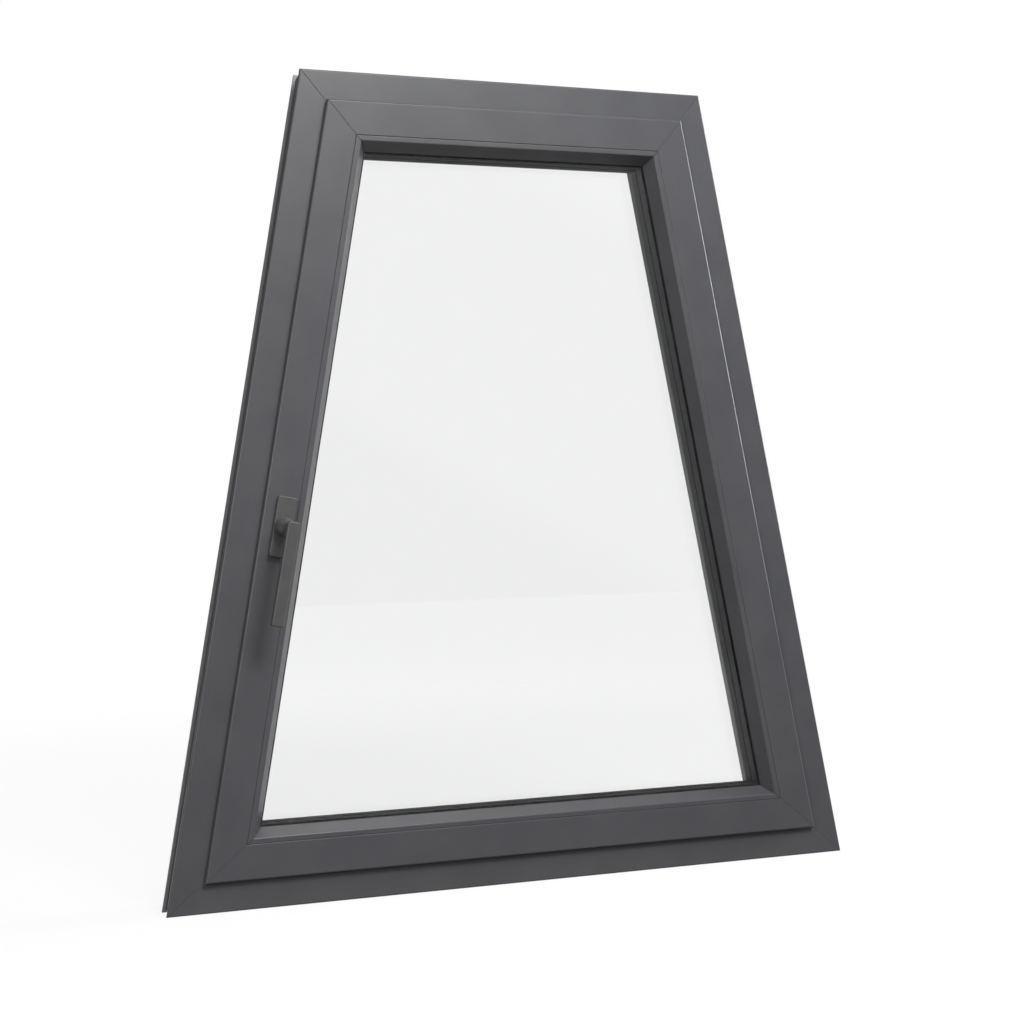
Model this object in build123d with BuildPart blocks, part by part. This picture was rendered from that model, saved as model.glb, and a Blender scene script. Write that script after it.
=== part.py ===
"""Trapezoid PVC window: a fixed frame, a sash with triple glazing and a lever handle.

X runs to the right and Y to the outside, both as seen from the room, and Z is up. The origin is
the middle of the foot, the fin under the sill rail that the window stands on in its opening. A profile is
drawn in two numbers: its reach inward from the window's outer edge, and its depth outward from
the room face of the frame.
"""

import os
from dataclasses import dataclass
from math import sqrt

from build123d import *

# Overall sizes of the window
height = 1100.0
sill_width = 985.0
head_width = 584.0

# Frame profile
frame_depth = 85.0
frame_rebate = 48.4
rebate_depth = 18.0
frame_stop = 70.4
stop_leg = 7.6
stop_slope = 3.4
channel_reach = 44.4
channel_start = 40.0
frame_arris = 2.4
front_lip = 4.0
side_groove = 4.0
foot_start = 36.0
foot_width = 4.0
back_setback = 9.0

# Sash profile
sash_depth = 85.0
sash_proud = 10.6
sash_overlap = 8.0
sash_flange = 7.6
sash_face = 45.8
hardware_air = 12.0
hardware_groove_start = 2.0
hardware_groove_width = 16.0
hardware_groove_depth = 3.0
sash_arris = 2.4
joint_arris = 0.9
glazing_leg = 16.8
glazing_leg_slope = 3.4

# Walls shared by the hollow profiles
outer_wall = 3.0
inner_web = 2.4
weld_line = 1.1
weld_depth = 0.45
weld_draft = 45.0

# Glazing bead
bead_joint = 0.2
bead_land = 7.1
bead_height = 18.5
bead_nose_round = 2.2
bead_lip = 1.0
bead_lip_back = 3.2
bead_wall = 2.4
clip_groove_start = 10.6
clip_groove_width = 5.0
clip_groove_depth = 4.0
clip_play = 0.4
bead_mitre_gap = 0.25

# Glazing unit and its seals
glass_setback = 20.3
pane_thickness = 4.0
cavity = 16.0
edge_clearance = 5.1
spacer_reach = 15.8
spacer_height = 7.5
glazing_seal_thickness = 4.0
bead_seal_thickness = 2.6
bead_seal_lip = 0.8
seal_lip = 1.2
stop_seal_lip = 0.6
overlap_seal_inset = 2.4
overlap_seal_width = 5.0
stop_seal_width = 6.0

# Handle
handle_height = 495.0
handle_reach = 67.8
handle_lean = 0.5
rosette_width = 25.5
rosette_length = 80.0
rosette_thickness = 10.0
rosette_corner = 3.6
rosette_edge = 1.4
lever_length = 135.0
lever_head = 6.5
lever_width = 16.2
lever_tip_width = 16.0
lever_thickness = 11.0
lever_front = 69.5
lever_head_corner = 4.0
lever_tip_corner = 2.2
lever_edge = 2.0
lever_back_edge = 1.0
neck_diameter = 24.8
neck_collar = 10.0
neck_head_diameter = 12.4
neck_head_length = 14.0
turning_gap = 0.3
spindle_square = 7.0
spindle_depth = 32.0
spindle_play = 1.1

# Drain caps on the outside of the sill rail
drain_cap_width = 46.0
drain_cap_height = 13.0
drain_cap_thickness = 5.0
drain_cap_corner = 3.2
drain_cap_draft = 14.0
drain_cap_spacing = 520.0
drain_cap_lift = 10.0
drain_slot_width = 28.0
drain_slot_height = 5.0

# Places that follow from the sizes above
foot_middle = foot_start + foot_width / 2
foot_end = foot_start + foot_width
sash_room = -sash_proud
sash_outside = sash_room + sash_depth
sash_edge = frame_rebate - sash_overlap
sash_body = frame_rebate + hardware_air
glazing_floor = sash_edge + sash_face
glazing_sight = glazing_floor + glazing_leg
glass_room = sash_room + glass_setback
unit_thickness = 3 * pane_thickness + 2 * cavity
glass_outside = glass_room + unit_thickness
glass_edge = glazing_floor + edge_clearance
leg_room = glass_outside + glazing_seal_thickness
stop_room = frame_depth - stop_leg
bead_back = glass_room - bead_seal_thickness
bead_edge = glazing_floor + bead_joint
bead_nose = bead_edge + bead_land
bead_slope = (bead_height - bead_land) / glass_setback
bead_tip = bead_edge + bead_height - bead_slope * bead_lip
clip_start = sash_room + clip_groove_start
clip_floor = glazing_floor - clip_groove_depth
spindle_hole = spindle_square / sqrt(2) + spindle_play
neck_foot = rosette_thickness + turning_gap
lever_back = lever_front - lever_thickness

outside = Vector(0, 1, 0)
corners = [
    Vector(sill_width / 2, 0, 0),
    Vector(-sill_width / 2, 0, 0),
    Vector(-head_width / 2, 0, height),
    Vector(head_width / 2, 0, height),
]


def row_depth(depth):
    """The place along Y of a depth measured from the room face of the frame."""
    return depth - foot_middle


@dataclass
class Side:
    """One side of the window, walked clockwise as seen from the room."""

    name: str
    start: int

    @property
    def first(self):
        return corners[self.start]

    @property
    def last(self):
        return corners[(self.start + 1) % len(corners)]

    @property
    def along(self):
        return (self.last - self.first).normalized()

    @property
    def inward(self):
        return outside.cross(self.along)

    @property
    def length(self):
        return (self.last - self.first).length

    @property
    def profile_plane(self):
        """The plane that a profile is drawn on: reach along its X, depth along its Y."""
        origin = self.first + outside * row_depth(0)
        return Plane(origin=origin, x_dir=self.inward, z_dir=self.along)

    def point(self, distance, reach, depth):
        """A point by its distance along the side, its reach inward and its depth."""
        return self.first + self.along * distance + self.inward * reach + outside * row_depth(depth)


sides = [Side("bottom", 0), Side("left", 1), Side("top", 2), Side("right", 3)]
bottom, left, top, right = sides


def mitre_normal(index):
    """The unit vector across the mitre at a corner, along the clockwise walk."""
    return (sides[index].along + sides[index - 1].along).normalized()


def inner_corner(index, reach):
    """The point of the mitre at a corner that lies a reach inward from both its sides."""
    along_mitre = (sides[index].inward + sides[index - 1].inward).normalized()
    return corners[index] + along_mitre * (reach / along_mitre.dot(sides[index].inward))


def room_plane(depth):
    """The plane at a depth that looks into the room, X to the right and Y up."""
    return Plane(origin=(0, row_depth(depth), 0), x_dir=(1, 0, 0), z_dir=(0, -1, 0))


def outside_plane(depth):
    """The plane at a depth that looks to the outside, X to the left and Y up."""
    return Plane(origin=(0, row_depth(depth), 0), x_dir=(-1, 0, 0), z_dir=(0, 1, 0))


def round_corner(reach, depth, radius):
    """Round the corner of the profile being drawn that lies at a reach and a depth."""
    fillet(vertices().sort_by_distance((reach, depth, 0))[0], radius)


def outline(*points):
    """Draw a closed outline through its corners and fill it."""
    with BuildLine() as border:
        Polyline(*points, close=True)
    make_face(border.edges())


def hollow(*points):
    """Leave the closed outline through some corners out of the profile being drawn."""
    with BuildLine() as border:
        Polyline(*points, close=True)
    make_face(border.edges(), mode=Mode.SUBTRACT)


def chamber(low_reach, high_reach, low_depth, high_depth):
    """Leave one rectangular chamber out of the profile being drawn."""
    hollow(
        (low_reach, low_depth),
        (high_reach, low_depth),
        (high_reach, high_depth),
        (low_reach, high_depth),
    )


def frame_profile():
    """The fixed frame: side groove and foot, rebate, and the stop leg on the outside."""
    outline(
        (0, 0),
        (frame_rebate, 0),
        (frame_rebate, rebate_depth),
        (channel_reach, channel_start),
        (channel_reach, stop_room),
        (frame_stop, stop_room),
        (frame_stop, frame_depth - stop_slope),
        (frame_stop - stop_slope, frame_depth),
        (back_setback, frame_depth),
        (back_setback, foot_end),
        (0, foot_end),
        (0, foot_start),
        (side_groove, foot_start),
        (side_groove, front_lip),
        (0, front_lip),
    )
    round_corner(0, 0, frame_arris)
    round_corner(frame_rebate, 0, joint_arris)
    round_corner(back_setback, frame_depth, joint_arris)
    chamber_high = channel_reach - outer_wall
    chamber(side_groove + outer_wall, frame_rebate - outer_wall, outer_wall, rebate_depth - inner_web)
    chamber(side_groove + outer_wall, chamber_high, rebate_depth, foot_start)
    middle = (foot_end + frame_depth) / 2
    chamber(back_setback + outer_wall, chamber_high, foot_end, middle - inner_web / 2)
    chamber(back_setback + outer_wall, chamber_high, middle + inner_web / 2, frame_depth - outer_wall)


def sash_profile():
    """The sash: overlap flange, hardware groove, glazing rebate with clip groove, glazing leg."""
    groove_end = hardware_groove_start + hardware_groove_width
    groove_floor = sash_body + hardware_groove_depth
    flange_back = sash_room + sash_flange
    clip_end = clip_start + clip_groove_width
    outline(
        (sash_edge, sash_room),
        (glazing_floor, sash_room),
        (glazing_floor, clip_start),
        (clip_floor, clip_start),
        (clip_floor, clip_end),
        (glazing_floor, clip_end),
        (glazing_floor, leg_room),
        (glazing_sight, leg_room),
        (glazing_sight, sash_outside - glazing_leg_slope),
        (glazing_sight - glazing_leg_slope, sash_outside),
        (sash_body, sash_outside),
        (sash_body, groove_end),
        (groove_floor, groove_end),
        (groove_floor, hardware_groove_start),
        (sash_body, hardware_groove_start),
        (sash_body, flange_back),
        (sash_edge, flange_back),
    )
    round_corner(sash_edge, sash_room, sash_arris)
    round_corner(glazing_floor, sash_room, joint_arris)
    round_corner(sash_edge, flange_back, joint_arris)
    low = groove_floor + outer_wall
    high = clip_floor - outer_wall
    web = clip_start + clip_groove_width
    middle = (groove_end + leg_room) / 2
    chamber(low, high, sash_room + outer_wall, web - inner_web / 2)
    chamber(low, high, web + inner_web / 2, groove_end + outer_wall)
    chamber(sash_body + outer_wall, glazing_floor - outer_wall, groove_end + outer_wall + inner_web, middle)
    chamber(sash_body + outer_wall, glazing_floor - outer_wall, middle + inner_web, leg_room)
    chamber(
        sash_body + outer_wall,
        glazing_sight - glazing_leg_slope - outer_wall,
        leg_room + outer_wall,
        sash_outside - outer_wall,
    )


def bead_profile():
    """The glazing bead: land flush with the sash, rounded nose, sloped reveal and clip foot."""
    foot_room = clip_start + clip_play
    foot_back = clip_start + clip_groove_width - clip_play
    outline(
        (bead_edge, sash_room),
        (bead_nose, sash_room),
        (bead_tip, glass_room - bead_lip),
        (bead_tip - bead_lip_back, bead_back),
        (bead_edge, bead_back),
        (bead_edge, foot_back),
        (clip_floor + clip_play, foot_back),
        (clip_floor + clip_play, foot_room),
        (bead_edge, foot_room),
    )
    round_corner(bead_nose, sash_room, bead_nose_round)
    round_corner(bead_edge, sash_room, joint_arris)
    hollow_room = sash_room + bead_wall
    hollow_back = bead_back - bead_wall
    hollow(
        (bead_edge + bead_wall, hollow_room),
        (bead_nose + bead_slope * bead_wall - bead_wall, hollow_room),
        (bead_nose + bead_slope * (hollow_back - sash_room) - bead_wall, hollow_back),
        (bead_edge + bead_wall, hollow_back),
    )


def bead_seal_profile():
    """The wedge of rubber between the bead and the glass, whose lip shows as a black line."""
    seal_back = glass_edge + seal_lip
    outline(
        (seal_back, bead_back),
        (bead_tip - bead_lip_back, bead_back),
        (bead_tip, glass_room - bead_lip),
        (bead_tip + bead_seal_lip, glass_room),
        (seal_back, glass_room),
    )


def glazing_seal_profile():
    """The rubber between the glass and the glazing leg on the outside."""
    seal_back = glass_edge + seal_lip
    outline(
        (seal_back, glass_outside),
        (glazing_sight + seal_lip, glass_outside),
        (glazing_sight, leg_room),
        (seal_back, leg_room),
    )


def overlap_seal_profile():
    """The rubber bulb under the sash flange, which closes on the room face of the frame."""
    low = sash_edge + overlap_seal_inset
    high = low + overlap_seal_width
    outline((low, sash_room + sash_flange), (high, sash_room + sash_flange), (high, 0), (low + seal_lip, 0))


def stop_seal_profile():
    """The rubber in the frame's stop leg, which closes on the outside of the sash."""
    high = frame_stop + stop_seal_lip
    low = frame_stop - stop_seal_width
    outline((low, sash_outside), (high, sash_outside), (frame_stop, stop_room), (low, stop_room))


def spacer_profile(cavity_room):
    """One spacer bar of the glazing unit, between two panes."""
    high = glass_edge + spacer_reach
    low = high - spacer_height
    outline((low, cavity_room), (high, cavity_room), (high, cavity_room + cavity), (low, cavity_room + cavity))


def mitred_bar(side, profile, gap=0.0):
    """A straight bar of a profile along one side, cut off at the mitres of its two corners."""
    last = (side.start + 1) % len(corners)
    first_cut = corners[side.start] + mitre_normal(side.start) * gap
    last_cut = corners[last] - mitre_normal(last) * gap
    with BuildPart() as bar:
        with BuildSketch(side.profile_plane):
            profile()
        extrude(amount=side.length)
        split(bisect_by=Plane(origin=first_cut, z_dir=mitre_normal(side.start)), keep=Keep.TOP)
        split(bisect_by=Plane(origin=last_cut, z_dir=mitre_normal(last)), keep=Keep.BOTTOM)
    return bar


def cut_weld_lines(bar, side, plane, low, high):
    """Cut the shallow V that dressing a weld leaves, along both mitres of a bar and over its arrises."""
    for index in (side.start, (side.start + 1) % len(corners)):
        with BuildSketch(plane) as groove:
            with BuildLine():
                Line(
                    plane.to_local_coords(inner_corner(index, low - weld_line) + plane.origin),
                    plane.to_local_coords(inner_corner(index, high + weld_line) + plane.origin),
                )
            trace(line_width=weld_line)
        with bar:
            extrude(groove.sketch, amount=-weld_depth, taper=weld_draft, mode=Mode.SUBTRACT)


def finish(builder, label):
    """Name a finished piece and write it to its file."""
    builder.part.label = label
    export_step(builder.part, f"parts/{label}.step")


def pane(label, room_face):
    """One sheet of glass, as far out as the glazing rebate lets it reach."""
    with BuildPart() as glass:
        with BuildSketch(room_plane(room_face)) as sheet:
            with BuildLine():
                Polyline(*[to_room(inner_corner(index, glass_edge)) for index in range(len(corners))], close=True)
            make_face()
        extrude(amount=-pane_thickness)
    finish(glass, label)


def to_room(point):
    """A point of the window as X and Y of a plane that looks into the room."""
    return (point.X, point.Z)


os.makedirs("parts", exist_ok=True)

# The handle stands on the left stile, a little steeper than its edge: X across, Y up, Z into the room
stile_distance = (handle_height + handle_reach * -left.inward.Z) / left.along.Z
handle_plane = Plane(
    origin=left.point(stile_distance, handle_reach, sash_room),
    x_dir=left.inward.rotate(Axis.Y, handle_lean),
    z_dir=(0, -1, 0),
)

# Fixed frame
for side in sides:
    frame_bar = mitred_bar(side, frame_profile)
    cut_weld_lines(frame_bar, side, room_plane(0), 0, frame_rebate)
    cut_weld_lines(frame_bar, side, outside_plane(frame_depth), back_setback, frame_stop - stop_slope)
    if side is bottom:
        with BuildSketch(outside_plane(frame_depth)) as drain_slots:
            with Locations((0, back_setback + drain_cap_lift)):
                with GridLocations(drain_cap_spacing, 0, 2, 1):
                    SlotOverall(drain_slot_width, drain_slot_height)
        with frame_bar:
            extrude(drain_slots.sketch, amount=-outer_wall, mode=Mode.SUBTRACT)
    finish(frame_bar, f"frame_{side.name}")

# Sash, with the hole for the spindle in its left stile
for side in sides:
    sash_bar = mitred_bar(side, sash_profile)
    cut_weld_lines(sash_bar, side, room_plane(sash_room), sash_edge, glazing_floor)
    cut_weld_lines(sash_bar, side, outside_plane(sash_outside), sash_body, glazing_sight - glazing_leg_slope)
    if side is left:
        with BuildSketch(handle_plane) as hole_outline:
            Circle(spindle_hole)
        with sash_bar:
            extrude(hole_outline.sketch, amount=-(spindle_depth + spindle_play), mode=Mode.SUBTRACT)
    finish(sash_bar, f"sash_{side.name}")

# Beads and the four rings of rubber
for side in sides:
    finish(mitred_bar(side, bead_profile, bead_mitre_gap), f"bead_{side.name}")
    finish(mitred_bar(side, bead_seal_profile), f"bead_seal_{side.name}")
    finish(mitred_bar(side, glazing_seal_profile), f"glazing_seal_{side.name}")
    finish(mitred_bar(side, overlap_seal_profile), f"overlap_seal_{side.name}")
    finish(mitred_bar(side, stop_seal_profile), f"stop_seal_{side.name}")

# Glazing unit
room_cavity = glass_room + pane_thickness
outside_cavity = room_cavity + cavity + pane_thickness
pane("pane_room", glass_room)
pane("pane_middle", room_cavity + cavity)
pane("pane_outside", outside_cavity + cavity)
for side in sides:
    finish(mitred_bar(side, lambda: spacer_profile(room_cavity)), f"spacer_room_{side.name}")
    finish(mitred_bar(side, lambda: spacer_profile(outside_cavity)), f"spacer_outside_{side.name}")

# Handle rosette on the sash
with BuildPart() as rosette:
    with BuildSketch(handle_plane):
        RectangleRounded(rosette_width, rosette_length, rosette_corner)
    extrude(amount=rosette_thickness)
    rim = rosette.faces().sort_by(Axis.Y)[0].edges()
    fillet(rim, rosette_edge)
    with BuildSketch(handle_plane):
        Circle(spindle_hole)
    extrude(amount=rosette_thickness, mode=Mode.SUBTRACT)
finish(rosette, "handle_rosette")

# Spindle, neck and lever turn together
with BuildPart() as spindle:
    with BuildSketch(handle_plane.offset(-spindle_depth)):
        Rectangle(spindle_square, spindle_square)
    extrude(amount=spindle_depth + neck_foot)
finish(spindle, "handle_spindle")

neck_plane = Plane(origin=handle_plane.origin, x_dir=handle_plane.x_dir, z_dir=-handle_plane.y_dir)
with BuildPart() as neck:
    with BuildSketch(neck_plane):
        with BuildLine():
            collar_end = (neck_diameter / 2, neck_foot + neck_collar)
            head_start = (neck_head_diameter / 2, lever_back - neck_head_length)
            head_rim = (neck_head_diameter / 2, lever_back)
            waist = ((collar_end[0] + head_start[0]) / 2, (collar_end[1] + head_start[1]) / 2)
            Line((0, neck_foot), (neck_diameter / 2, neck_foot))
            Line((neck_diameter / 2, neck_foot), collar_end)
            TangentArc(collar_end, waist, tangent=(0, 1))
            TangentArc(head_start, waist, tangent=(0, -1))
            Line(head_start, head_rim)
            Line(head_rim, (0, lever_back))
            Line((0, lever_back), (0, neck_foot))
        make_face()
    revolve(axis=Axis(handle_plane.origin, handle_plane.z_dir))
finish(neck, "handle_neck")

with BuildPart() as lever:
    with BuildSketch(handle_plane.offset(lever_back)):
        with BuildLine():
            Polyline(
                (-lever_width / 2, lever_head),
                (lever_width / 2, lever_head),
                (lever_tip_width / 2, lever_head - lever_length),
                (-lever_tip_width / 2, lever_head - lever_length),
                close=True,
            )
        make_face()
        fillet(vertices().group_by(Axis.Y)[-1], lever_head_corner)
        fillet(vertices().group_by(Axis.Y)[0], lever_tip_corner)
    extrude(amount=lever_thickness)
    fillet(lever.faces().sort_by(Axis.Y)[0].edges(), lever_edge)
    fillet(lever.faces().sort_by(Axis.Y)[-1].edges(), lever_back_edge)
finish(lever, "handle_lever")

# Drain caps over the slots on the outside of the sill rail
for name, place in (("left", -drain_cap_spacing / 2), ("right", drain_cap_spacing / 2)):
    cap_plane = outside_plane(frame_depth)
    with BuildPart() as cap:
        with BuildSketch(cap_plane):
            with Locations((-place, back_setback + drain_cap_lift)):
                RectangleRounded(drain_cap_width, drain_cap_height, drain_cap_corner)
        extrude(amount=drain_cap_thickness, taper=drain_cap_draft)
    finish(cap, f"drain_cap_{name}")
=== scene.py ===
"""Looks of the trapezoid window: its finishes, the glazing unit's spacers, the studio and the camera.

Lengths are in metres. X runs to the right and Y to the outside, both as seen from the room, and Z
is up. The origin is the middle of the foot, the fin under the sill rail.
"""

import logging
import math
import random
from dataclasses import dataclass
from enum import Enum
from typing import Any, Optional, Sequence, Union

import bmesh
import bpy
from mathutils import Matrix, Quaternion, Vector


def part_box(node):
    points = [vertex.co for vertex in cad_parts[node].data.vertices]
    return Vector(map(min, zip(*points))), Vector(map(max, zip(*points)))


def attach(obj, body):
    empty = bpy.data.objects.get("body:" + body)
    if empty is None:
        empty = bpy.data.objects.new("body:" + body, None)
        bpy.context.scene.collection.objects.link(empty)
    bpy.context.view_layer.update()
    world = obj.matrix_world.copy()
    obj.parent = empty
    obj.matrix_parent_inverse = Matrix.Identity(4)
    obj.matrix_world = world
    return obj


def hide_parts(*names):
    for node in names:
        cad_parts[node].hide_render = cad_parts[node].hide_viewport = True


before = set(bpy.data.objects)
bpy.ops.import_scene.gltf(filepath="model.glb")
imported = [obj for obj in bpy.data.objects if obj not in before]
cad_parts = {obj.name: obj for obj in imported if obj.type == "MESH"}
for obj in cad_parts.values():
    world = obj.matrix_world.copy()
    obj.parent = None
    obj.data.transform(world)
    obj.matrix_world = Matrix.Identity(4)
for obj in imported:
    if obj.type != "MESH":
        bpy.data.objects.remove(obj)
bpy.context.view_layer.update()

log = logging.getLogger("window")

Colour = tuple[float, float, float]
Point = tuple[float, float, float]
Span = tuple[float, float]
Feed = Union["Signal", bpy.types.NodeSocket, float, Sequence[float]]

MM = 0.001
SAME_PLACE = 1e-6
BAR_LENGTHS = "bar_lengths"
WHITE: Colour = (1.0, 1.0, 1.0)
TO_RIGHT: Point = (1.0, 0.0, 0.0)
TO_OUTSIDE: Point = (0.0, 1.0, 0.0)


class Signal:
    """One number that the nodes of a material work out, open to plain maths."""

    def __init__(self, graph: "Graph", socket: bpy.types.NodeSocket) -> None:
        """Wraps a socket.

        Args:
            graph: The node graph that the socket is in.
            socket: An output socket that holds a number.
        """
        self.graph = graph
        self.socket = socket

    def __add__(self, other: "Signal | float") -> "Signal":
        """Returns the sum."""
        return self.graph.maths("ADD", self, other)

    def __radd__(self, other: float) -> "Signal":
        """Returns the sum with a plain number on the left."""
        return self.graph.maths("ADD", other, self)

    def __sub__(self, other: "Signal | float") -> "Signal":
        """Returns the difference."""
        return self.graph.maths("SUBTRACT", self, other)

    def __rsub__(self, other: float) -> "Signal":
        """Returns a plain number less this one."""
        return self.graph.maths("SUBTRACT", other, self)

    def __mul__(self, other: "Signal | float") -> "Signal":
        """Returns the product."""
        return self.graph.maths("MULTIPLY", self, other)

    def __rmul__(self, other: float) -> "Signal":
        """Returns the product with a plain number on the left."""
        return self.graph.maths("MULTIPLY", other, self)

    def __abs__(self) -> "Signal":
        """Returns the size without its sign."""
        return self.graph.maths("ABSOLUTE", self)

    def swing(self) -> "Signal":
        """Returns how far noise is from its middle, from about -0.5 to 0.5."""
        return self - 0.5

    def wrapped(self, period: float) -> "Signal":
        """Returns the distance to the nearest multiple of a period.

        Args:
            period: The spacing of the multiples.
        """
        return self.graph.maths("PINGPONG", self, period / 2)

    def step(self, low: float, high: float) -> "Signal":
        """Returns a smooth step from 0 at low to 1 at high.

        Args:
            low: The value that gives 0.
            high: The value that gives 1, which may be the lower of the two.
        """
        falling = high < low
        ranged = self.graph.node(
            "ShaderNodeMapRange",
            {"interpolation_type": "SMOOTHSTEP"},
            {
                "Value": self,
                "From Min": min(low, high),
                "From Max": max(low, high),
                "To Min": 1.0 if falling else 0.0,
                "To Max": 0.0 if falling else 1.0,
            },
        )
        return Signal(self.graph, ranged.outputs["Result"])


@dataclass(frozen=True)
class Noise:
    """The size of a noise's patches, as patches per unit of length, and its finer layers."""

    scale: float
    detail: float = 2.0
    roughness: float = 0.5


class Graph:
    """The nodes of one material or of the world."""

    def __init__(self, owner: "bpy.types.Material | bpy.types.World") -> None:
        """Empties the owner's node tree.

        Args:
            owner: The material or the world whose nodes are made.
        """
        owner.use_nodes = True
        self.tree = owner.node_tree
        self.tree.nodes.clear()

    def node(
        self,
        kind: str,
        settings: Optional[dict[str, Any]] = None,
        sockets: Optional[dict[Union[str, int], Feed]] = None,
    ) -> bpy.types.Node:
        """Adds one node.

        Args:
            kind: The node's type name.
            settings: Its own settings, set first.
            sockets: Values or links of its inputs, by name or number.

        Returns:
            The node.
        """
        made = self.tree.nodes.new(kind)
        for name, value in (settings or {}).items():
            setattr(made, name, value)
        for name, value in (sockets or {}).items():
            self.feed(made.inputs[name], value)
        return made

    def feed(self, socket: bpy.types.NodeSocket, value: Feed) -> None:
        """Gives an input its value or its link.

        Args:
            socket: The input.
            value: A number, a colour, a vector, a signal or an output socket.
        """
        if isinstance(value, Signal):
            value = value.socket
        if isinstance(value, bpy.types.NodeSocket):
            self.tree.links.new(value, socket)
        elif socket.type == "RGBA" and len(value) == 3:
            socket.default_value = (*value, 1.0)
        else:
            socket.default_value = value

    def maths(self, operation: str, *values: "Signal | float") -> Signal:
        """Adds one Math node and returns its result.

        Args:
            operation: The node's operation.
            values: Its numbers or signals, in order.
        """
        made = self.node("ShaderNodeMath", {"operation": operation}, dict(enumerate(values)))
        return Signal(self, made.outputs[0])

    def place(self) -> bpy.types.NodeSocket:
        """Returns the point on the piece at rest, in metres."""
        return self.node("ShaderNodeTexCoord").outputs["Object"]

    def ray(self, kind: str) -> Signal:
        """Returns 1 for light that travels as a kind of ray, and 0 for other light.

        Args:
            kind: The kind's word in the Light Path node, such as Camera.
        """
        return Signal(self, self.node("ShaderNodeLightPath").outputs[f"Is {kind} Ray"])

    def greatest(self, first: Signal, *others: Signal) -> Signal:
        """Returns the greatest of several signals.

        Args:
            first: One of them.
            others: The rest.
        """
        for other in others:
            first = self.maths("MAXIMUM", first, other)
        return first

    def along(self, place: bpy.types.NodeSocket, direction: Sequence[float]) -> Signal:
        """Returns how far a point lies along a direction.

        Args:
            place: The point.
            direction: The direction, whose length scales the result.
        """
        sockets = {0: place, 1: tuple(direction)}
        made = self.node("ShaderNodeVectorMath", {"operation": "DOT_PRODUCT"}, sockets)
        return Signal(self, made.outputs["Value"])

    def vector(self, *parts: "Signal | float") -> bpy.types.NodeSocket:
        """Returns a vector made from its three parts.

        Args:
            parts: The numbers or signals, in order.
        """
        return self.node("ShaderNodeCombineXYZ", None, dict(enumerate(parts))).outputs[0]

    def noise(self, place: Feed, pattern: Noise) -> Signal:
        """Returns fractal noise from about 0 to 1.

        Args:
            place: The point at which it is read.
            pattern: Its size and its finer layers.
        """
        made = self.node(
            "ShaderNodeTexNoise",
            {"noise_dimensions": "3D"},
            {
                "Vector": place,
                "Scale": pattern.scale,
                "Detail": pattern.detail,
                "Roughness": pattern.roughness,
            },
        )
        return Signal(self, made.outputs["Fac"])

    def blend(self, share: Signal, first: Feed, second: Feed) -> bpy.types.NodeSocket:
        """Returns a colour between two.

        Args:
            share: How much of the second shows, from 0 to 1.
            first: The colour at 0.
            second: The colour at 1.
        """
        made = self.node("ShaderNodeMix", {"data_type": "RGBA"}, {0: share, 6: first, 7: second})
        return made.outputs[2]

    def relief(self, height: Signal, depth: float, strength: float) -> bpy.types.NodeSocket:
        """Returns the normal of a surface with a fine relief.

        Args:
            height: The relief, from about 0 to 1.
            depth: The height of its full range in metres.
            strength: How much of it shows.
        """
        sockets = {"Strength": strength, "Distance": depth, "Height": height}
        return self.node("ShaderNodeBump", None, sockets).outputs["Normal"]

    def surface(self, sockets: dict[Union[str, int], Feed]) -> bpy.types.Node:
        """Adds the Principled shader and the output.

        Args:
            sockets: Values or links of the shader's inputs.

        Returns:
            The shader node.
        """
        shader = self.node("ShaderNodeBsdfPrincipled", None, sockets)
        self.node("ShaderNodeOutputMaterial", None, {"Surface": shader.outputs[0]})
        return shader


class Edge(Enum):
    """The four sides of the window, walked clockwise as seen from the room."""

    BOTTOM = 0
    LEFT = 1
    TOP = 2
    RIGHT = 3

    @property
    def label(self) -> str:
        """The side's word in the names of its nodes."""
        return self.name.lower()


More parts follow.
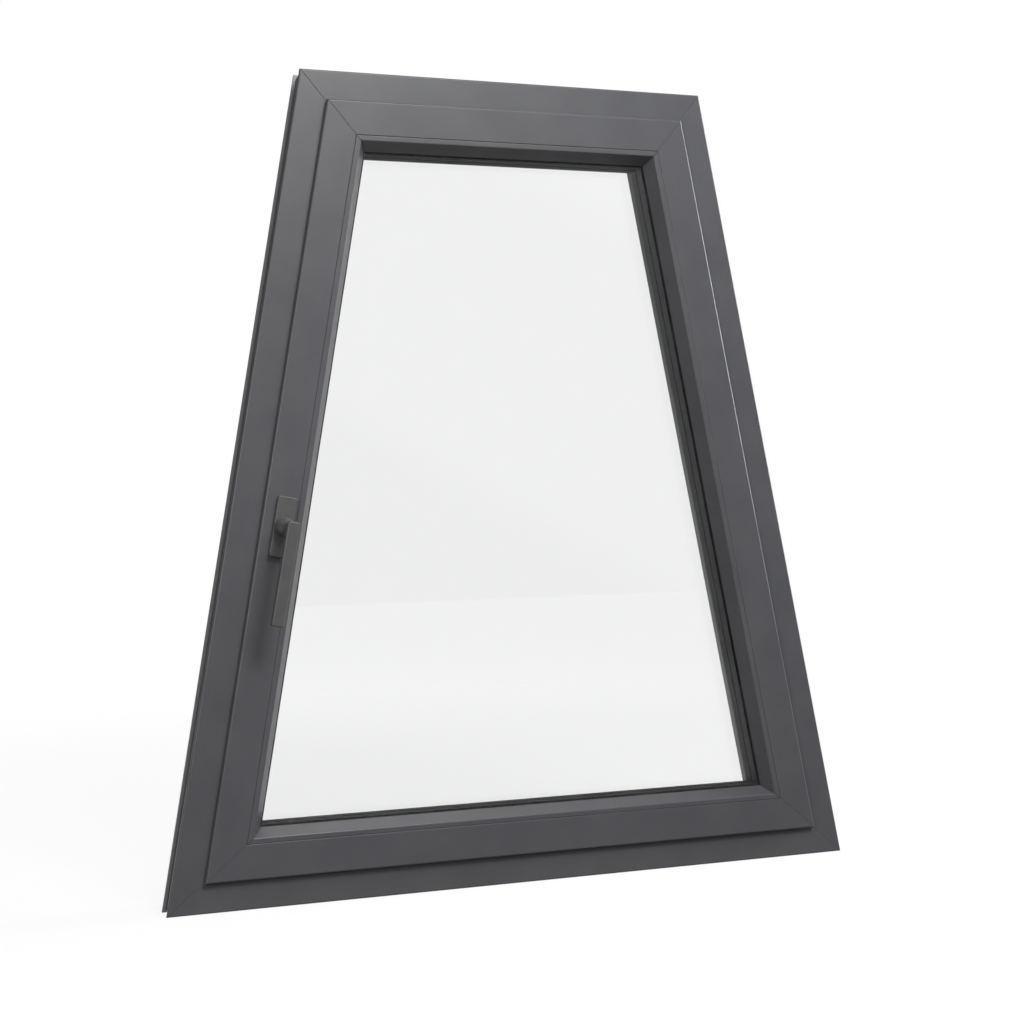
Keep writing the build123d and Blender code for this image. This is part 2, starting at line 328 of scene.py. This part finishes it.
@dataclass(frozen=True)
class Trapezoid:
    """The outer outline of the window in the plane of its face."""

    sill: float
    head: float
    height: float

    @classmethod
    def of_frame(cls) -> "Trapezoid":
        """Returns the outline of the fixed frame, measured on its sill and its head."""
        sill_low, sill_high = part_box("frame_bottom")
        head_low, head_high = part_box("frame_top")
        return cls(sill_high.x - sill_low.x, head_high.x - head_low.x, head_high.z)

    def corner(self, edge: Edge) -> Vector:
        """Returns the corner at which a side starts.

        Args:
            edge: The side.
        """
        low, high = self.sill / 2, self.head / 2
        return [
            Vector((low, 0.0, 0.0)),
            Vector((-low, 0.0, 0.0)),
            Vector((-high, 0.0, self.height)),
            Vector((high, 0.0, self.height)),
        ][edge.value]

    def run(self, edge: Edge) -> Vector:
        """Returns the unit vector along a side, on the clockwise walk.

        Args:
            edge: The side.
        """
        following = Edge((edge.value + 1) % len(Edge))
        return (self.corner(following) - self.corner(edge)).normalized()

    def inward(self, edge: Edge) -> Vector:
        """Returns the unit vector from a side towards the glass.

        Args:
            edge: The side.
        """
        return Vector(TO_OUTSIDE).cross(self.run(edge))

    def mitre_point(self, edge: Edge, reach: float, depth: float) -> Vector:
        """Returns the point of a side's first mitre at a reach and a depth.

        Args:
            edge: The side that starts at the mitre.
            reach: The distance inward from the outer outline.
            depth: The place along Y.
        """
        before = Edge((edge.value - 1) % len(Edge))
        bisector = (self.inward(edge) + self.inward(before)).normalized()
        return (
            self.corner(edge)
            + bisector * (reach / bisector.dot(self.inward(edge)))
            + depth * Vector(TO_OUTSIDE)
        )

    def coordinates(self, graph: Graph, edge: Edge) -> tuple[Signal, Signal, Signal]:
        """Returns the distance along a side, the reach inward and the depth at each point.

        Args:
            graph: The material's nodes.
            edge: The side that the piece belongs to.

        Returns:
            The three lengths in metres.
        """
        place = graph.place()
        start, run, inward = self.corner(edge), self.run(edge), self.inward(edge)
        return (
            graph.along(place, run) - start.dot(run),
            graph.along(place, inward) - start.dot(inward),
            graph.along(place, TO_OUTSIDE),
        )


@dataclass(frozen=True)
class PvcFinish:
    """Anthracite foil on an extruded profile, with its grain along the bar.

    The foil ends at the outer rim, where the unfoiled profile shows in a paler grey. That grey is partly
    the profile's own colour and partly painted light, which lightens a rim that the frame itself shades.
    """

    name: str
    colour: Colour = (0.0935, 0.0945, 0.103)
    pale: Colour = (0.1055, 0.1065, 0.115)
    clouds: Noise = Noise(16.0, 3.0, 0.55)
    streaks: Noise = Noise(900.0, 3.0)
    streak_stretch: float = 0.06
    pores: Noise = Noise(1600.0)
    tone_streaks: float = 0.3
    tone_range: Span = (0.3, 0.7)
    # Rim grey: the unfoiled profile's colour, made paler partly as painted light on a rim in the frame's
    # own shade.
    core_and_painted_light: Colour = (0.27, 0.27, 0.275)
    rim_reach: float = 3.8 * MM
    rim_depth: float = -35.6 * MM
    rim_blur: float = 0.1 * MM
    roughness: float = 0.36
    roughness_clouds: float = 0.1
    roughness_streaks: float = 0.06
    shine: float = 0.5
    grain_streaks: float = 0.6
    grain_depth: float = 0.05 * MM
    grain_strength: float = 0.5

    def make(self, outline: Trapezoid, edge: Edge) -> bpy.types.Material:
        """Makes the material for the bars of one side.

        Args:
            outline: The window's outline, which gives the bar's direction.
            edge: The side.

        Returns:
            The material.
        """
        material = bpy.data.materials.new(f"{self.name}_{edge.label}")
        graph = Graph(material)
        run, reach, depth = outline.coordinates(graph, edge)
        bar = graph.vector(run * self.streak_stretch, reach, depth)
        streaks = graph.noise(bar, self.streaks)
        pores = graph.noise(graph.place(), self.pores)
        clouds = graph.noise(graph.place(), self.clouds)
        tone = (1.0 - self.tone_streaks) * clouds + self.tone_streaks * streaks
        foil = graph.blend(tone.step(*self.tone_range), self.colour, self.pale)
        uneven = self.roughness_clouds * clouds.swing() + self.roughness_streaks * streaks.swing()
        grain = self.grain_streaks * streaks + (1.0 - self.grain_streaks) * pores
        graph.surface(
            {
                # The outer rim gets the paler grey, partly the profile's own colour and partly painted
                # light.
                "Base Color": graph.blend(self.core_and_painted_light_rim(reach, depth), foil, self.core_and_painted_light),
                "Roughness": self.roughness + uneven,
                "Specular IOR Level": self.shine,
                "Normal": graph.relief(grain, self.grain_depth, self.grain_strength),
            }
        )
        return material

    def core_and_painted_light_rim(self, reach: Signal, depth: Signal) -> Signal:
        """Returns 1 on the rim that the foil leaves uncovered, which takes the paler grey that is partly
        the profile's own and partly painted light, and 0 elsewhere.

        Args:
            reach: The distance inward from the outer outline.
            depth: The place along Y.
        """
        at_rim = reach.step(self.rim_reach + self.rim_blur, self.rim_reach - self.rim_blur)
        past_face = depth.step(self.rim_depth - self.rim_blur, self.rim_depth + self.rim_blur)
        return at_rim * past_face


@dataclass(frozen=True)
class RubberFinish:
    """Black sealing rubber with a dull skin and fine extrusion lines."""

    name: str
    colour: Colour = (0.016, 0.016, 0.017)
    pale: Colour = (0.032, 0.032, 0.033)
    bloom: Noise = Noise(45.0, 4.0, 0.6)
    bloom_range: Span = (0.35, 0.7)
    roughness: float = 0.6
    roughness_bloom: float = 0.2
    shine: float = 0.3
    skin: Noise = Noise(2200.0)
    skin_depth: float = 0.04 * MM
    skin_strength: float = 0.5

    def make(self) -> bpy.types.Material:
        """Makes the material and returns it."""
        material = bpy.data.materials.new(self.name)
        graph = Graph(material)
        bloom = graph.noise(graph.place(), self.bloom)
        skin = graph.noise(graph.place(), self.skin)
        graph.surface(
            {
                "Base Color": graph.blend(bloom.step(*self.bloom_range), self.colour, self.pale),
                "Roughness": self.roughness + self.roughness_bloom * bloom.swing(),
                "Specular IOR Level": self.shine,
                "Normal": graph.relief(skin, self.skin_depth, self.skin_strength),
            }
        )
        return material


@dataclass(frozen=True)
class GlassFinish:
    """Clear float glass with a barely uneven surface."""

    name: str
    tint: Colour = (0.998, 1.0, 0.999)
    index: float = 1.5
    wave: Noise = Noise(7.0, 1.0)
    wave_depth: float = 0.004 * MM
    wave_strength: float = 0.2

    def make(self) -> bpy.types.Material:
        """Makes the material and returns it."""
        material = bpy.data.materials.new(self.name)
        graph = Graph(material)
        wave = graph.noise(graph.place(), self.wave)
        graph.surface(
            {
                "Base Color": self.tint,
                "Roughness": 0.0,
                "IOR": self.index,
                "Transmission Weight": 1.0,
                "Normal": graph.relief(wave, self.wave_depth, self.wave_strength),
            }
        )
        return material


@dataclass(frozen=True)
class SpacerFinish:
    """Dark anodised aluminium of a spacer bar, rolled lengthways, with two rows of breather holes."""

    name: str
    colour: Colour = (0.07, 0.072, 0.075)
    pale: Colour = (0.1, 0.102, 0.105)
    edge: Colour = (0.3, 0.3, 0.3)
    lines: Noise = Noise(2600.0, 3.0)
    line_stretch: float = 0.03
    hole: Colour = (0.02, 0.02, 0.02)
    hole_pitch: float = 3.2 * MM
    hole_radius: float = 0.45 * MM
    hole_blur: float = 0.15
    row_offset: float = 2.4 * MM
    roughness: float = 0.5
    roughness_lines: float = 0.12
    roughness_hole: float = 0.4
    relief_lines: float = 0.3
    relief_depth: float = 0.1 * MM
    relief_strength: float = 0.6

    def make(self) -> bpy.types.Material:
        """Makes the material, which reads the piece's own lengths along and across the bar.

        Returns:
            The material.
        """
        material = bpy.data.materials.new(self.name)
        graph = Graph(material)
        lengths = graph.node("ShaderNodeUVMap", {"uv_map": BAR_LENGTHS}).outputs[0]
        run = graph.along(lengths, (1.0, 0.0, 0.0))
        across = graph.along(lengths, (0.0, 1.0, 0.0))
        from_row = abs(abs(across) - self.row_offset)
        from_hole = run.wrapped(self.hole_pitch)
        distance = graph.maths("SQRT", from_row * from_row + from_hole * from_hole)
        outer, inner = self.hole_radius * (1.0 + self.hole_blur), self.hole_radius * (1.0 - self.hole_blur)
        pierced = distance.step(outer, inner)
        lines = graph.noise(graph.vector(run * self.line_stretch, across, 0.0), self.lines)
        metal = graph.blend(lines, self.colour, self.pale)
        uneven = self.roughness_lines * lines.swing() + self.roughness_hole * pierced
        height = lines * self.relief_lines - pierced
        graph.surface(
            {
                "Base Color": graph.blend(pierced, metal, self.hole),
                "Metallic": 1.0 - pierced,
                "Specular Tint": self.edge,
                "Roughness": self.roughness + uneven,
                "Normal": graph.relief(height, self.relief_depth, self.relief_strength),
            }
        )
        return material


@dataclass(frozen=True)
class CoatedMetalFinish:
    """Satin powder coat on cast metal, with a fine orange peel."""

    name: str
    colour: Colour = (0.096, 0.096, 0.096)
    pale: Colour = (0.11, 0.11, 0.11)
    handling: Noise = Noise(55.0, 3.0, 0.6)
    handling_range: Span = (0.3, 0.7)
    roughness: float = 0.36
    roughness_handling: float = 0.14
    shine: float = 0.45
    peel: Noise = Noise(1100.0, 2.0, 0.4)
    peel_depth: float = 0.05 * MM
    peel_strength: float = 0.4

    def make(self) -> bpy.types.Material:
        """Makes the material and returns it."""
        material = bpy.data.materials.new(self.name)
        graph = Graph(material)
        peel = graph.noise(graph.place(), self.peel)
        handling = graph.noise(graph.place(), self.handling)
        worn = handling.step(*self.handling_range)
        graph.surface(
            {
                "Base Color": graph.blend(worn, self.colour, self.pale),
                "Roughness": self.roughness + self.roughness_handling * handling.swing(),
                "Specular IOR Level": self.shine,
                "Normal": graph.relief(peel, self.peel_depth, self.peel_strength),
            }
        )
        return material


@dataclass(frozen=True)
class SteelFinish:
    """Zinc-plated steel of the spindle, with an uneven plating."""

    name: str
    colour: Colour = (0.42, 0.42, 0.4)
    pale: Colour = (0.55, 0.55, 0.52)
    plating: Noise = Noise(700.0, 3.0)
    roughness: float = 0.3
    roughness_plating: float = 0.2
    plating_depth: float = 0.03 * MM
    plating_strength: float = 0.4

    def make(self) -> bpy.types.Material:
        """Makes the material and returns it."""
        material = bpy.data.materials.new(self.name)
        graph = Graph(material)
        plating = graph.noise(graph.place(), self.plating)
        graph.surface(
            {
                "Base Color": graph.blend(plating, self.colour, self.pale),
                "Metallic": 1.0,
                "Roughness": self.roughness + self.roughness_plating * plating,
                "Normal": graph.relief(plating, self.plating_depth, self.plating_strength),
            }
        )
        return material


def dress(names: Sequence[str], material: bpy.types.Material) -> None:
    """Gives CAD nodes a material in place of their own.

    Args:
        names: The nodes.
        material: The material.
    """
    for name in names:
        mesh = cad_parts[name].data
        mesh.materials.clear()
        mesh.materials.append(material)
        log.info("dressed %s in %s", name, material.name)


@dataclass
class MitredRing:
    """A closed ring of one profile around the trapezoid, with four mitred corners.

    The profile is a list of points, each with its reach and its depth. Between the mitres, waver
    moves the points of the inner edge by chance.
    """

    name: str
    outline: Trapezoid
    profile: list[tuple[float, float]]
    pieces: int = 1
    waver: float = 0.0

    def build(self, material: bpy.types.Material) -> bpy.types.Object:
        """Builds the ring.

        Args:
            material: Its material.

        Returns:
            The ring's object, in place.
        """
        chance = random.Random(self.name)
        work = bmesh.new()
        lengths = work.loops.layers.uv.new(BAR_LENGTHS)
        low_reach = min(reach for reach, _ in self.profile)
        middle = sum(depth for _, depth in self.profile) / len(self.profile)
        for edge in Edge:
            following = Edge((edge.value + 1) % len(Edge))
            sections = []
            for step in range(self.pieces + 1):
                share = step / self.pieces
                loose = 0.0 if step in (0, self.pieces) else self.waver
                section = []
                for reach, depth in self.profile:
                    inner = reach + (chance.uniform(-loose, loose) if reach > low_reach else 0.0)
                    first = self.outline.mitre_point(edge, inner, depth)
                    last = self.outline.mitre_point(following, inner, depth)
                    section.append(work.verts.new(first.lerp(last, share)))
                sections.append(section)
            start, run = self.outline.corner(edge), self.outline.run(edge)
            for near, far in zip(sections, sections[1:]):
                for index in range(len(self.profile)):
                    after = (index + 1) % len(self.profile)
                    face = work.faces.new((near[index], near[after], far[after], far[index]))
                    for loop in face.loops:
                        point = loop.vert.co
                        loop[lengths].uv = ((point - start).dot(run), point.y - middle)
        bmesh.ops.remove_doubles(work, verts=work.verts, dist=SAME_PLACE)
        bmesh.ops.recalc_face_normals(work, faces=work.faces)
        mesh = bpy.data.meshes.new(self.name)
        work.to_mesh(mesh)
        work.free()
        mesh.materials.append(material)
        ring = bpy.data.objects.new(self.name, mesh)
        bpy.context.scene.collection.objects.link(ring)
        return ring


@dataclass
class FixedFrame:
    """The fixed frame, its stop seal and the drain caps outside."""

    outline: Trapezoid
    pvc: PvcFinish = PvcFinish("frame_foil")
    cap: CoatedMetalFinish = CoatedMetalFinish(
        "drain_cap_plastic",
        (0.078, 0.08, 0.085),
        (0.09, 0.092, 0.097),
        roughness=0.5,
        shine=0.35,
    )

    def build(self, rubber: bpy.types.Material) -> None:
        """Dresses the frame.

        Args:
            rubber: The material of its seal.
        """
        for edge in Edge:
            dress([f"frame_{edge.label}"], self.pvc.make(self.outline, edge))
        dress([f"stop_seal_{edge.label}" for edge in Edge], rubber)
        dress(["drain_cap_left", "drain_cap_right"], self.cap.make())


@dataclass
class Sash:
    """The sash, its glazing beads and its seals."""

    outline: Trapezoid
    pvc: PvcFinish = PvcFinish("sash_foil")
    bead: PvcFinish = PvcFinish("bead_foil", roughness=0.34)

    def build(self, rubber: bpy.types.Material) -> None:
        """Dresses the sash.

        Args:
            rubber: The material of its seals.
        """
        for edge in Edge:
            dress([f"sash_{edge.label}"], self.pvc.make(self.outline, edge))
            dress([f"bead_{edge.label}"], self.bead.make(self.outline, edge))
        for seal in ("bead_seal", "glazing_seal", "overlap_seal"):
            dress([f"{seal}_{edge.label}" for edge in Edge], rubber)


@dataclass
class GlazingUnit:
    """Three panes, with a spacer and its two lines of butyl in each cavity."""

    outline: Trapezoid
    butyl: float = 0.35 * MM
    butyl_setback: float = 0.3 * MM
    butyl_pieces: int = 40
    squeeze: float = 0.25 * MM
    clearance: float = 0.04 * MM
    bar_round: float = 0.9 * MM
    bar_round_middle: float = 0.3
    glass: GlassFinish = GlassFinish("float_glass")
    metal: SpacerFinish = SpacerFinish("spacer_metal")
    tape: RubberFinish = RubberFinish(
        "butyl",
        (0.008, 0.008, 0.008),
        (0.016, 0.016, 0.016),
        roughness=0.42,
    )

    def build(self) -> None:
        """Dresses the panes and builds the two spacers."""
        dress(["pane_room", "pane_middle", "pane_outside"], self.glass.make())
        metal, tape = self.metal.make(), self.tape.make()
        for cavity in ("room", "outside"):
            low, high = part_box(f"spacer_{cavity}_bottom")
            self.build_spacer(cavity, low, high, metal)
            self.build_butyl(cavity, low, high, tape)

    def build_spacer(self, cavity: str, low: Vector, high: Vector, metal: bpy.types.Material) -> None:
        """Builds the bar of one cavity, a little narrower than the cavity.

        Args:
            cavity: The cavity's word in its nodes' names.
            low: The lowest corner of its bottom bar.
            high: The highest corner of its bottom bar.
            metal: The bar's material.
        """
        near, far = low.y + self.butyl, high.y - self.butyl
        bend = self.bar_round
        middle = bend * self.bar_round_middle
        profile = [
            (low.z, near + bend),
            (low.z + bend, near),
            (high.z - bend, near),
            (high.z - middle, near + middle),
            (high.z, near + bend),
            (high.z, far - bend),
            (high.z - middle, far - middle),
            (high.z - bend, far),
            (low.z + bend, far),
            (low.z, far - bend),
        ]
        ring = MitredRing(f"spacer_bar_{cavity}", self.outline, profile).build(metal)
        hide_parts(*[f"spacer_{cavity}_{edge.label}" for edge in Edge])
        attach(ring, "window")
        log.info("built %s", ring.name)

    def build_butyl(self, cavity: str, low: Vector, high: Vector, tape: bpy.types.Material) -> None:
        """Builds the two lines of butyl between one bar and its panes.

        Args:
            cavity: The cavity's word in its nodes' names.
            low: The lowest corner of its bottom bar.
            high: The highest corner of its bottom bar.
            tape: The butyl's material.
        """
        top = high.z - self.butyl_setback
        for side, pane, bar in (
            ("near", low.y + self.clearance, low.y + self.butyl + self.clearance),
            ("far", high.y - self.butyl - self.clearance, high.y - self.clearance),
        ):
            profile = [(low.z, pane), (top, pane), (top, bar), (low.z, bar)]
            name = f"butyl_{cavity}_{side}"
            ring = MitredRing(name, self.outline, profile, self.butyl_pieces, self.squeeze)
            line = ring.build(tape)
            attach(line, "window")
            log.info("built %s", line.name)


@dataclass
class Handle:
    """The rosette on the sash, the lever with its neck, and the spindle."""

    coat: CoatedMetalFinish = CoatedMetalFinish("handle_coat")
    steel: SteelFinish = SteelFinish("spindle_zinc")

    def build(self) -> None:
        """Dresses the handle."""
        dress(["handle_rosette", "handle_neck", "handle_lever"], self.coat.make())
        dress(["handle_spindle"], self.steel.make())


@dataclass(frozen=True)
class Softbox:
    """A square lamp aimed at the window, with its share of mirrored light."""

    name: str
    place: Point
    size: float
    power: float
    specular: float = 1.0
    aim: Point = (0.0, 0.0, 0.55)

    def light(self) -> None:
        """Adds the lamp."""
        data = bpy.data.lights.new(self.name, "AREA")
        data.shape = "SQUARE"
        data.size = self.size
        data.specular_factor = self.specular
        data.energy = self.power
        lamp = bpy.data.objects.new(self.name, data)
        bpy.context.scene.collection.objects.link(lamp)
        lamp.location = self.place
        lamp.rotation_mode = "QUATERNION"
        lamp.rotation_quaternion = (Vector(self.aim) - Vector(self.place)).to_track_quat("-Z", "Y")


@dataclass
class Studio:
    """The pale floor, the white surroundings, the lamps and the camera."""

    ambient: float = 0.04
    backdrop_outside: Span = (0.6, 0.9)
    backdrop_right: Span = (-0.1, 0.2)
    room_glow: float = 0.33
    room_step: float = 0.13
    room_sheen: float = 0.25
    room_edges: Span = (0.22, 0.41)
    room_blur: float = 0.02
    room_slant: Point = (0.6, 0.0, 1.0)
    room_end: float = 0.02
    floor_half: float = 9.0
    floor_drop: float = 0.2 * MM
    floor_shade: float = 0.12
    floor_roughness: float = 0.8
    floor_glow: float = 0.9
    floor_room_end: float = 0.2
    fade_start: float = 1.0
    fade_end: float = 3.0
    camera_place: Point = (-0.8481, -2.3026, 0.4879)
    camera_forward: Point = (0.3473, 0.9377, 0.0084)
    camera_roll: float = 1.438
    camera_lens: float = 61.86
    camera_sensor: float = 36.0
    lamps: tuple[Softbox, ...] = (
        Softbox("near_lamp", (0.2, -1.3, 2.5), 1.2, 7.0),
        Softbox("top_lamp", (0.9, -2.2, 2.9), 1.4, 18.0),
        Softbox("front_lamp", (0.3, -3.2, 2.9), 1.2, 88.0),
        Softbox("side_lamp", (3.0, 0.0, 1.4), 1.2, 88.0, 0.2),
        Softbox("left_lamp", (-2.2, -2.6, 1.1), 1.2, 30.0),
        Softbox("back_lamp", (0.3, 2.4, 3.2), 1.6, 16.0),
    )

    def build(self) -> None:
        """Builds everything around the window."""
        self.make_world()
        self.make_floor()
        for lamp in self.lamps:
            lamp.light()
        self.make_camera()

    def make_world(self) -> None:
        """Makes the surroundings: white to the camera, and a dim room in mirrors and glass.

        Mirrors see a white backdrop straight behind the window. Glass sees white all over that
        side, and before the window the room, which gets lighter in two slanting steps.
        """
        world = bpy.data.worlds.new("studio")
        bpy.context.scene.world = world
        graph = Graph(world)
        direction = graph.node("ShaderNodeTexCoord").outputs["Generated"]
        outside = graph.along(direction, TO_OUTSIDE)
        right = graph.along(direction, TO_RIGHT)
        backdrop = outside.step(*self.backdrop_outside) * right.step(*self.backdrop_right)
        slant = graph.along(direction, self.room_slant)
        room = self.room_glow + sum(
            self.room_step * slant.step(edge - self.room_blur, edge + self.room_blur)
            for edge in self.room_edges
        )
        sheen = self.room_sheen * room
        mirrored = graph.ray("Glossy") * (sheen + (1.0 - sheen) * backdrop)
        behind = outside.step(-self.room_end, self.room_end)
        in_glass = graph.ray("Transmission") * (room + (1.0 - room) * behind)
        lit = self.ambient * graph.ray("Diffuse")
        strength = graph.greatest(graph.ray("Camera"), in_glass, mirrored, lit)
        glow = graph.node("ShaderNodeBackground", None, {"Color": WHITE, "Strength": strength})
        graph.node("ShaderNodeOutputWorld", None, {"Surface": glow.outputs[0]})

    def make_floor(self) -> None:
        """Makes the floor, which keeps the window's shadow and turns white further out."""
        work = bmesh.new()
        half = self.floor_half
        for x, y in ((-half, -half), (half, -half), (half, half), (-half, half)):
            work.verts.new((x, y, 0.0))
        work.faces.new(work.verts)
        mesh = bpy.data.meshes.new("studio_floor")
        work.to_mesh(mesh)
        work.free()
        floor = bpy.data.objects.new("studio_floor", mesh)
        bpy.context.scene.collection.objects.link(floor)
        floor.location.z = -self.floor_drop
        mesh.materials.append(self.make_floor_paint())

    def make_floor_paint(self) -> bpy.types.Material:
        """Makes the floor's material, which glows for the camera and behind the window.

        Returns:
            The material.
        """
        material = bpy.data.materials.new("pale_floor")
        graph = Graph(material)
        place = graph.place()
        behind = graph.along(place, TO_OUTSIDE).step(-self.floor_room_end, self.floor_room_end)
        in_glass = self.room_glow + (1.0 - self.room_glow) * behind
        seen = graph.greatest(
            graph.ray("Camera"),
            graph.ray("Glossy") * behind,
            graph.ray("Transmission") * in_glass,
        )
        away = graph.node("ShaderNodeVectorMath", {"operation": "LENGTH"}, {0: place})
        fade = Signal(graph, away.outputs["Value"]).step(self.fade_start, self.fade_end)
        shade = self.floor_shade
        matt = graph.node(
            "ShaderNodeBsdfPrincipled",
            None,
            {
                "Base Color": (shade, shade, shade),
                "Roughness": self.floor_roughness,
                "Specular IOR Level": 0.0,
                "Emission Color": WHITE,
                "Emission Strength": self.floor_glow * seen,
            },
        )
        white = graph.node("ShaderNodeEmission", None, {"Color": WHITE, "Strength": 1.0})
        mixed = {0: fade * seen, 1: matt.outputs[0], 2: white.outputs[0]}
        paint = graph.node("ShaderNodeMixShader", None, mixed)
        graph.node("ShaderNodeOutputMaterial", None, {"Surface": paint.outputs[0]})
        return material

    def make_camera(self) -> None:
        """Makes the camera at the photograph's viewing angle."""
        data = bpy.data.cameras.new("room_view")
        data.lens = self.camera_lens
        data.sensor_width = self.camera_sensor
        camera = bpy.data.objects.new("room_view", data)
        bpy.context.scene.collection.objects.link(camera)
        level = Vector(self.camera_forward).to_track_quat("-Z", "Y")
        roll = Quaternion((0.0, 0.0, 1.0), math.radians(-self.camera_roll))
        camera.location = self.camera_place
        camera.rotation_mode = "QUATERNION"
        camera.rotation_quaternion = level @ roll
        bpy.context.scene.camera = camera


def main() -> None:
    """Builds every sub-assembly in order."""
    logging.basicConfig(level=logging.INFO, format="%(message)s")
    bpy.context.scene.view_settings.view_transform = "Standard"
    outline = Trapezoid.of_frame()
    rubber = RubberFinish("seal_rubber").make()
    FixedFrame(outline).build(rubber)
    Sash(outline).build(rubber)
    GlazingUnit(outline).build()
    Handle().build()
    Studio().build()


if __name__ == "__main__":
    main()
